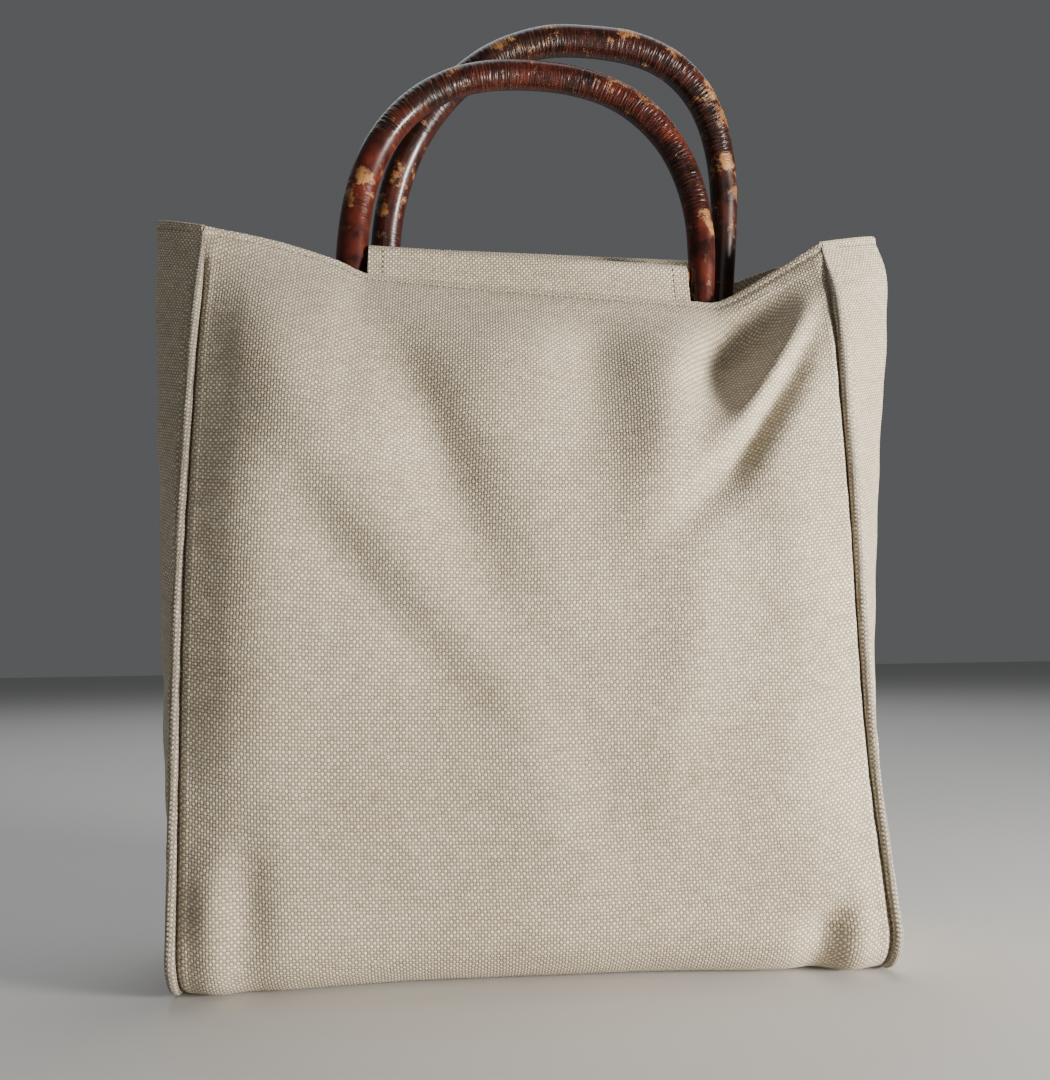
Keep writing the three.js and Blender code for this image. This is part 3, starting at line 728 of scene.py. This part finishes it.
# Where knots stand on the sticks: share of the length, degrees round it from outside, and size in mm.
FRONT_KNOTS = table(
    "along turn size swell",
    (0.165, 275, 11, 0.5),
    (0.13, 300, 6, 0.3),
    (0.38, 310, 7, 0.4),
    (0.49, 300, 5, 0.2),
    (0.61, 250, 5, 0.2),
    (0.655, 300, 12, 0.8),
    (0.7, 325, 9, 0.6),
    (0.855, 295, 8, 0.6),
    (0.88, 310, 7, 0.7),
    (0.93, 275, 5, 0.2),
)
REAR_KNOTS = table(
    "along turn size swell",
    (0.11, 300, 6, 0.4),
    (0.17, 275, 8, 0.5),
    (0.4, 300, 8, 0.5),
    (0.46, 330, 6, 0.3),
    (0.57, 335, 7, 0.4),
    (0.64, 320, 8, 0.4),
    (0.7, 330, 12, 0.7),
    (0.74, 320, 11, 0.7),
    (0.8, 280, 7, 0.4),
    (0.84, 320, 8, 0.5),
)


def arch_path(stick, lean, panel):
    """The stick's centre line: straight feet and a squarish arch, leaning about its bar."""
    span, rise, skew, left_squareness, right_squareness = stick
    half = span / 2
    angle = math.pi * (1 - np.linspace(0, 1, 1201))
    across, up = np.cos(angle), np.sin(angle)
    power = 2 / np.where(across < 0, left_squareness, right_squareness)
    x = np.sign(across) * np.abs(across) ** power
    z = np.abs(up) ** power
    fine = stack(half * x + skew * z * z, 0 * x, rise * z)
    feet = np.linspace(-FOOT_DROP, 0, 8)[:-1]
    left, right = stack(-half, 0, feet), stack(half, 0, feet[::-1])
    whole = np.concatenate([left, fine, right])
    lengths = np.concatenate([[0], np.cumsum(np.linalg.norm(np.diff(whole, axis=0), axis=1))])
    even = np.linspace(0, lengths[-1], STICK_RINGS)
    path = np.stack([np.interp(even, lengths, whole[:, k]) for k in range(3)], axis=1)
    slope = Matrix.Rotation(math.atan2(panel.bar_drop, 2 * TAB_HALF_WIDTH), 3, "Y")
    turn = np.array(slope @ Matrix.Rotation(math.radians(lean), 3, "X"))
    plane = turn @ np.array([0, 1.0, 0])
    return path @ turn.T + np.array([panel.centre, panel.bar_y, panel.bar_height]), plane, even


def stick_piece(name, stick, lean, panel, knots, seed, swell):
    """A bent stick with its knots. Its UV map is the turn round it, up to 1, and the length in metres."""
    path, plane, along = arch_path(stick, lean, panel)
    share = along / along[-1]
    angle = np.linspace(0, 360, STICK_SIDES, endpoint=False)
    radius = mix(LEFT_ROD, RIGHT_ROD, share) / 2
    radii = np.repeat(radius[:, None], STICK_SIDES, axis=1)
    where, around = np.meshgrid(along, angle, indexing="ij")
    girth = math.pi * (LEFT_ROD + RIGHT_ROD) / 2
    radii += swell * hill(share, 0.6, 0.2)[:, None] - 0.12
    radii += 0.1 * waves(where, 0 * where, seed, 70, 25, 6)
    knot = 0 * radii
    for i in range(len(knots["along"])):
        reach = knots["size"][i]
        aside = (around - knots["turn"][i] + 180) % 360 - 180
        up_stick = (where - knots["along"][i] * along[-1]) / reach
        round_stick = aside / 360 * girth / (0.8 * reach)
        far = up_stick ** 2 + round_stick ** 2
        spot = np.exp(-far * 1.6)
        radii += knots["swell"][i] * spot * 0.6
        knot = np.maximum(knot, spot)
    thing = rod_mesh(name, path, plane, radii, STICK_SIDES, 1000)
    layer = thing.data.attributes.new("knot", "FLOAT", "POINT")
    layer.data.foreach_set("value", knot.ravel())
    curve = np.linalg.norm(np.gradient(np.gradient(path, axis=0), axis=0), axis=1)
    curve = np.convolve(curve, np.ones(25) / 25, mode="same")
    curve = np.clip(curve / np.percentile(curve, 90), 0, 1)
    layer = thing.data.attributes.new("bend", "FLOAT", "POINT")
    layer.data.foreach_set("value", np.repeat(curve, STICK_SIDES))
    return thing


def stitches(name, lines):
    """Short stitches along lines of (path, outwards). Each dips into the cloth at its ends."""
    rings, sides = 7, 6
    arch = np.sin(np.linspace(0, math.pi, rings))
    turn = np.linspace(0, 2 * math.pi, sides, endpoint=False)
    ids = np.arange(rings * sides).reshape(rings, sides)
    beside = np.roll(ids, -1, axis=1)
    tube = np.stack([ids[:-1], ids[1:], beside[1:], beside[:-1]], axis=-1).reshape(-1, 4)
    points, faces = [], []
    for path, outwards in lines:
        lengths = np.concatenate([[0], np.cumsum(np.linalg.norm(np.diff(path, axis=0), axis=1))])
        for start in np.arange(1, lengths[-1] - STITCH_LENGTH, STITCH_PITCH):
            at = np.linspace(start, start + STITCH_LENGTH, rings)
            line = np.stack([np.interp(at, lengths, path[:, k]) for k in range(3)], axis=1)
            out = np.stack([np.interp(at, lengths, outwards[:, k]) for k in range(3)], axis=1)
            line = line + out * (0.35 * arch - 0.3)[:, None]
            aside = np.cross(line[-1] - line[0], out)
            aside /= np.linalg.norm(aside, axis=1, keepdims=True)
            size = (STITCH_RADIUS * (0.5 + 0.5 * arch))[:, None, None]
            spread = aside[:, None] * np.cos(turn)[:, None] + out[:, None] * np.sin(turn)[:, None]
            faces.append(tube + sum(map(len, points)))
            points.append((line[:, None] + spread * size).reshape(-1, 3))
    return make_mesh(name, np.concatenate(points), np.concatenate(faces))


class Nodes:
    """A material's node tree, with short ways to add to it."""

    def __init__(self, name):
        self.material = bpy.data.materials.new(name)
        self.material.use_nodes = True
        self.tree = self.material.node_tree
        self.tree.nodes.clear()

    def add(self, kind, inputs, output=0, **settings):
        node = self.tree.nodes.new(kind)
        for key, value in settings.items():
            setattr(node, key, value)
        for key, value in inputs.items():
            if isinstance(value, bpy.types.NodeSocket):
                self.tree.links.new(value, node.inputs[key])
            else:
                node.inputs[key].default_value = value
        return node.outputs[output] if len(node.outputs) else None

    def math(self, operation, a, b=0.0, c=0.0):
        return self.add("ShaderNodeMath", {0: a, 1: b, 2: c}, operation=operation)

    def total(self, first, *others):
        for other in others:
            first = self.math("ADD", first, other)
        return first

    def ramp(self, value, low, high, start=0.0, end=1.0):
        return self.add("ShaderNodeMapRange", {0: value, 1: low, 2: high, 3: start, 4: end})

    def noise(self, vector, scale, detail=2.0, roughness=0.5):
        inputs = {"Vector": vector, "Scale": scale, "Detail": detail, "Roughness": roughness}
        return self.add("ShaderNodeTexNoise", inputs)

    def point(self, x, y, z=0.0):
        return self.add("ShaderNodeCombineXYZ", {0: x, 1: y, 2: z})

    def blend(self, share, a, b, way="MIX"):
        settings = {"data_type": "RGBA", "blend_type": way}
        return self.add("ShaderNodeMix", {0: share, 6: a, 7: b}, output=2, **settings)

    def flat(self):
        """The places on the flat cloth, in metres."""
        uv = self.add("ShaderNodeUVMap", {}, uv_map="flat")
        parts = self.tree.nodes.new("ShaderNodeSeparateXYZ")
        self.tree.links.new(uv, parts.inputs[0])
        return parts.outputs[0], parts.outputs[1]

    def finish(self, colour, roughness, height=None, depth=0.0, **sockets):
        inputs = {"Base Color": colour, "Roughness": roughness}
        inputs.update({key.replace("_", " "): value for key, value in sockets.items()})
        if height is not None:
            bump = {"Strength": 1.0, "Distance": depth, "Height": height}
            inputs["Normal"] = self.add("ShaderNodeBump", bump)
        shader = self.add("ShaderNodeBsdfPrincipled", inputs)
        self.add("ShaderNodeOutputMaterial", {"Surface": shader})
        return self.material


def display(red, green, blue):
    """A colour as a screen shows it, made linear."""
    return tuple(((c / 255 + 0.055) / 1.055) ** 2.4 for c in (red, green, blue)) + (1.0,)


WARP_PITCH = 0.00142
WEFT_PITCH = 0.00155


def canvas(name, light, dark, turn=0.0):
    """Coarse plain weave of slubby threads, at its real scale on the flat cloth."""
    n = Nodes(name)
    u, v = n.flat()
    if turn:
        cos, sin = math.cos(turn), math.sin(turn)
        u, v = (
            n.math("ADD", n.math("MULTIPLY", u, cos), n.math("MULTIPLY", v, sin)),
            n.math("SUBTRACT", n.math("MULTIPLY", v, cos), n.math("MULTIPLY", u, sin)),
        )
    place = n.point(u, v)
    sway = n.math("MULTIPLY", n.math("SUBTRACT", n.noise(place, 60.0), 0.5), 0.0012)
    sway_other = n.math("MULTIPLY", n.math("SUBTRACT", n.noise(n.point(v, u), 70.0), 0.5), 0.0012)
    x = n.math("DIVIDE", n.math("ADD", u, sway), WARP_PITCH)
    y = n.math("DIVIDE", n.math("ADD", v, sway_other), WEFT_PITCH)
    warp, weft = n.math("FLOOR", x), n.math("FLOOR", y)
    in_warp = n.math("SUBTRACT", n.math("FRACT", x), 0.5)
    in_weft = n.math("SUBTRACT", n.math("FRACT", y), 0.5)
    odd = n.math("FLOORED_MODULO", n.math("ADD", warp, weft), 2.0)
    over = n.math("SUBTRACT", 1.0, n.math("MULTIPLY", odd, 2.0))
    slub_warp = n.noise(n.point(n.math("MULTIPLY", warp, 3.7), n.math("MULTIPLY", v, 130.0)), 1.0, 3.0)
    slub_weft = n.noise(n.point(n.math("MULTIPLY", u, 130.0), n.math("MULTIPLY", weft, 3.7), 9.0), 1.0, 3.0)

    def height(side, own, across, slub):
        thin = n.ramp(slub, 0.3, 0.7, 6.0, 3.6)
        wave = n.math("COSINE", n.math("MULTIPLY", across, math.pi))
        ride = n.math("MULTIPLY", n.math("MULTIPLY", over, side), wave)
        return n.math("SUBTRACT", ride, n.math("MULTIPLY", thin, n.math("MULTIPLY", own, own)))

    warp_height = n.math("SUBTRACT", height(1.0, in_warp, in_weft, slub_warp), 0.4)
    weft_height = height(-1.0, in_weft, in_warp, slub_weft)
    top = n.math("MAXIMUM", warp_height, weft_height)
    is_warp = n.math("GREATER_THAN", warp_height, weft_height)
    fibre_warp = n.noise(n.point(n.math("MULTIPLY", u, 5200.0), n.math("MULTIPLY", v, 500.0)), 1.0, 1.0)
    fibre_weft = n.noise(n.point(n.math("MULTIPLY", u, 500.0), n.math("MULTIPLY", v, 5200.0)), 1.0, 1.0)

    def upper(of_warp, of_weft):
        rest = n.math("MULTIPLY", n.math("SUBTRACT", 1.0, is_warp), of_weft)
        return n.math("ADD", n.math("MULTIPLY", is_warp, of_warp), rest)

    fibre = upper(fibre_warp, fibre_weft)
    slub = upper(slub_warp, slub_weft)
    tone = n.ramp(n.math("ADD", n.math("MULTIPLY", slub, 0.65), n.math("MULTIPLY", fibre, 0.35)), 0.22, 0.7)
    cloud = n.ramp(n.noise(place, 14.0, 4.0, 0.6), 0.3, 0.7, -0.14, 0.14)
    tone = n.math("ADD", tone, cloud)
    threads = n.blend(tone, dark, light)
    # Painted shade: the thread colour is made darker where the weave lies low, in the hollows between the
    # threads. The weft is also made darker where it lies on top.
    painted_hollow_shade_and_dark_weft = n.math("MULTIPLY", n.ramp(top, -1.3, 0.7, 0.2, 1.0), n.ramp(is_warp, 0.0, 1.0, 1.0, 0.62))
    painted_shade_grey = n.add("ShaderNodeCombineColor", {0: painted_hollow_shade_and_dark_weft, 1: painted_hollow_shade_and_dark_weft, 2: painted_hollow_shade_and_dark_weft})
    colour = n.blend(1.0, threads, painted_shade_grey, "MULTIPLY")
    relief_height = n.total(
        n.ramp(top, -1.8, 1.0),
        n.math("MULTIPLY", fibre, 0.15),
        n.math("MULTIPLY", is_warp, -0.12),
    )
    sheen = {"Sheen_Weight": 0.12, "Sheen_Roughness": 0.5}
    return n.finish(colour, 0.92, relief_height, 0.00042, Specular_IOR_Level=0.25, **sheen)


def bark(name, gold, shade):
    """Lacquered bark: red-brown with dark mottles, golden patches at the knots, wrinkles at the bends."""
    n = Nodes(name)
    turn, along = n.flat()
    angle = n.math("MULTIPLY", turn, 2 * math.pi)

    def on_girth(radius):
        """The places on a straight stick of this radius. A small one draws a noise out into rings."""
        x = n.math("MULTIPLY", n.math("COSINE", angle), radius)
        y = n.math("MULTIPLY", n.math("SINE", angle), radius)
        return n.point(x, y, along)

    round_place = on_girth(0.008)
    ringed = on_girth(0.0012)
    knot = n.add("ShaderNodeAttribute", {}, output=2, attribute_name="knot")
    bend = n.add("ShaderNodeAttribute", {}, output=2, attribute_name="bend")
    mottle = n.noise(round_place, 90.0, 5.0, 0.6)
    broad = n.noise(round_place, 28.0, 3.0, 0.5)
    bend = n.math("MULTIPLY", bend, n.ramp(n.noise(round_place, 19.0, 1.0), 0.38, 0.52, 0.15, 1.0))
    rings = n.noise(ringed, 800.0, 1.0, 0.5)
    flecks = n.noise(ringed, 420.0, 3.0, 0.7)
    base = n.blend(n.ramp(mottle, 0.35, 0.65), display(36, 11, 7), display(92, 32, 16))
    # Dark patches, mostly at the bends. A shade above 0 adds painted shade: it darkens the whole stick
    # towards the same dark brown.
    at_bends = n.ramp(bend, 0.2, 0.8, 0.3 + shade / 2, 0.85)
    darker = n.math("MULTIPLY", n.ramp(broad, 0.44, 0.58, shade, 1.0), at_bends)
    base = n.blend(darker, base, display(22, 14, 10))
    lines = n.math("MULTIPLY", n.ramp(rings, 0.54, 0.64), n.ramp(bend, 0.2, 0.9, 0.05, 0.45))
    base = n.blend(lines, base, display(92, 50, 28))
    lenticel = n.math("MULTIPLY", n.ramp(flecks, 0.7, 0.75), n.ramp(broad, 0.4, 0.6, 0.2, 0.9))
    base = n.blend(lenticel, base, display(148, 98, 60))
    flakes = n.noise(round_place, 110.0, 6.0, 0.75)
    patch = n.total(n.math("MULTIPLY", knot, 0.17), flakes, gold)
    golden = n.blend(n.ramp(mottle, 0.38, 0.6), display(104, 60, 30), display(172, 124, 74))
    base = n.blend(n.ramp(patch, 0.61, 0.67, 0.0, 0.85), base, golden)
    height = n.total(
        n.math("MULTIPLY", n.ramp(rings, 0.35, 0.65), n.ramp(bend, 0.1, 0.9, 0.03, 0.8)),
        n.math("MULTIPLY", mottle, 0.25),
        n.math("MULTIPLY", n.ramp(patch, 0.6, 0.68), 0.25),
    )
    rough = n.ramp(mottle, 0.3, 0.7, 0.28, 0.42)
    coat = {"Coat_Weight": 0.22, "Coat_Roughness": 0.12}
    return n.finish(base, rough, height, 0.0005, Specular_IOR_Level=0.35, **coat)


def plain_wood(name):
    """The dowels hidden in the tabs."""
    n = Nodes(name)
    place = n.add("ShaderNodeNewGeometry", {})
    stretched = n.add("ShaderNodeMapping", {0: place, 3: (8.0, 90.0, 90.0)})
    grain = n.noise(stretched, 6.0, 4.0, 0.6)
    colour = n.blend(grain, display(120, 84, 50), display(176, 138, 92))
    return n.finish(colour, 0.7, grain, 0.0002)


def thread(name):
    """Twisted sewing thread, a little darker than the cloth."""
    n = Nodes(name)
    place = n.add("ShaderNodeNewGeometry", {})
    twist = n.noise(place, 2600.0, 2.0)
    colour = n.blend(twist, display(84, 68, 50), display(132, 112, 86))
    return n.finish(colour, 0.75, twist, 0.0001)


def ground(name):
    n = Nodes(name)
    place = n.add("ShaderNodeNewGeometry", {})
    tone = n.noise(place, 3.0, 2.0)
    return n.finish(n.blend(tone, display(214, 213, 210), display(220, 219, 216)), 0.85)


def stitch_line(points_at, outside):
    """A line of stitches on a cloth: its path on the outer face, and outwards along it."""
    path = points_at(0)
    out = np.cross(np.gradient(path, axis=0), points_at(0.004) - points_at(-0.004))
    out /= np.linalg.norm(out, axis=1, keepdims=True)
    out *= np.sign(out @ outside)[:, None]
    return path + out * CLOTH / 2, out


def panel_stitches(panel, name):
    """The topstitch of a panel's hem, and the two rows that close the ends of its tab."""
    u = np.linspace(-0.965, 0.965, 240)
    up = 1 - STITCH_BELOW / (panel.hem_at(u) - WALL / 2 - BOTTOM_ROLL)
    lines = [stitch_line(lambda more: panel_points(panel, u, up + more), np.array([0, panel.side, 0]))]
    for hand in (-1, 1):
        column = np.array([hand * (TAB_SHARE - TAB_STITCH_INSET / HALF_WIDTH)])
        foot = panel_points(panel, column, 1 + 0 * column)[None]
        ply = np.concatenate([foot, tab_rows(panel, column)[:12]])[:, 0]
        away = ply - np.array([0, panel.bar_y, 0])
        away[:, 0] = 0
        away[:, 2] = np.maximum(0, ply[:, 2] - bar_height_at(panel, ply[0, 0]))
        away /= np.linalg.norm(away, axis=1, keepdims=True)
        lines.append((ply + away * CLOTH / 2, away))
    return stitches(name, lines)


def gusset_stitches(hand, name):
    """The topstitch of a gusset's hem."""
    across = np.linspace(0.06, 0.94, 90)
    down = STITCH_BELOW / FRONT_HEIGHT

    def points_at(more):
        return gusset_points(hand, np.array([down - more]), across)[:, 0]

    return stitches(name, [stitch_line(points_at, np.array([hand, 0, 0]))])


def set_material(thing, material):
    thing.data.materials.clear()
    thing.data.materials.append(material)
    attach(thing, "root")


def build():
    cloth = canvas("canvas_weave", display(255, 241, 213), display(190, 168, 134))
    side_cloth = canvas("canvas_weave_sides", display(250, 236, 207), display(184, 163, 130))
    bias = canvas("piping_weave", display(216, 204, 182), display(150, 136, 114), math.radians(45))
    seam_thread = thread("sewing_thread")
    body = make_mesh("canvas_body", *body_sheet().wall(CLOTH))
    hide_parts("body_panel")
    set_material(body, cloth)
    for hand, side in ((-1, "left"), (1, "right")):
        gusset = make_mesh(f"canvas_gusset_{side}", *gusset_sheet(hand).wall(CLOTH))
        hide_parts(f"gusset_{side}")
        set_material(gusset, side_cloth)
        set_material(gusset_stitches(hand, f"hem_stitches_{side}"), seam_thread)
        cord = piping_piece(hand)
        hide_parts(f"piping_{side}")
        set_material(cord, bias)
    for panel, place in ((FRONT, "front"), (BACK, "back")):
        set_material(panel_stitches(panel, f"hem_stitches_{place}"), seam_thread)
    front = stick_piece("stick_front", FRONT_STICK, 0, FRONT, FRONT_KNOTS, FRONT_STICK_SEED, 0)
    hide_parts("handle_arch_front")
    set_material(front, bark("bark_front", 0.0, 0.0))
    rear = stick_piece("stick_rear", REAR_STICK, REAR_LEAN, BACK, REAR_KNOTS, REAR_STICK_SEED, REAR_SWELL)
    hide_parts("handle_arch_rear")
    # The rear stick's bark gets painted shade: it is darker as a whole than the front's.
    set_material(rear, bark("bark_rear", 0.03, 0.72))
    dowel = plain_wood("dowel_wood")
    for node in ("handle_bar_front", "handle_bar_rear"):
        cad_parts[node].data.materials.clear()
        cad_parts[node].data.materials.append(dowel)


def placed(axes, place):
    """The matrix of a thing from its three axes and its place."""
    rows = [[*row, at] for row, at in zip(np.stack(axes, axis=1), place)]
    return Matrix(rows + [[0, 0, 0, 1]])


def camera():
    """The photo's own viewpoint: a little to the left, low and close."""
    yaw, pitch, roll = math.radians(4.49), math.radians(6.0), math.radians(-0.84)
    forward = np.array([math.sin(yaw) * math.cos(pitch), math.cos(yaw) * math.cos(pitch), math.sin(pitch)])
    right = np.array([math.cos(yaw), -math.sin(yaw), 0])
    up = np.cross(right, forward)
    right, up = math.cos(roll) * right + math.sin(roll) * up, math.cos(roll) * up - math.sin(roll) * right
    place = np.array([-0.0437, -0.5473, 0.1549]) + SHIFT
    data = bpy.data.cameras.new("camera")
    data.lens = 35
    data.sensor_width = 36
    data.clip_start = 0.01
    thing = bpy.data.objects.new("camera", data)
    thing.matrix_world = placed([right, up, -forward], place)
    bpy.context.scene.collection.objects.link(thing)
    bpy.context.scene.camera = thing


def lamp(name, place, size, power, colour=(1, 1, 1)):
    """A soft square lamp that faces the middle of the bag."""
    data = bpy.data.lights.new(name, "AREA")
    data.size = size
    data.energy = power
    data.color = colour
    thing = bpy.data.objects.new(name, data)
    aim = np.array([0.0, 0.0, 0.2]) - np.array(place)
    back = -aim / np.linalg.norm(aim)
    across = np.cross([0, 0, 1], back)
    across /= np.linalg.norm(across)
    over = np.cross(back, across)
    thing.matrix_world = placed([across, over, back], place)
    bpy.context.scene.collection.objects.link(thing)


def studio():
    mesh = bpy.data.meshes.new("floor")
    half = 8
    corners = [(-half, -half, 0), (half, -half, 0), (half, half, 0), (-half, half, 0)]
    mesh.from_pydata(corners, [], [(0, 1, 2, 3)])
    floor = bpy.data.objects.new("floor", mesh)
    bpy.context.scene.collection.objects.link(floor)
    mesh.materials.append(ground("floor_paper"))
    world = bpy.data.worlds.new("studio")
    world.use_nodes = True
    world.node_tree.nodes["Background"].inputs[0].default_value = (0.78, 0.8, 0.82, 1)
    world.node_tree.nodes["Background"].inputs[1].default_value = 0.13
    bpy.context.scene.world = world
    lamp("key", (1.0, -0.64, 0.15), 0.28, 37, (1, 0.96, 0.92))
    lamp("fill", (-0.2, -2.2, 0.5), 1.0, 2, (0.96, 0.98, 1))
    lamp("top", (0, 0.9, 2.4), 2.5, 32, (0.95, 0.97, 1))


SHIFT = place_shift()
camera()
studio()
build()
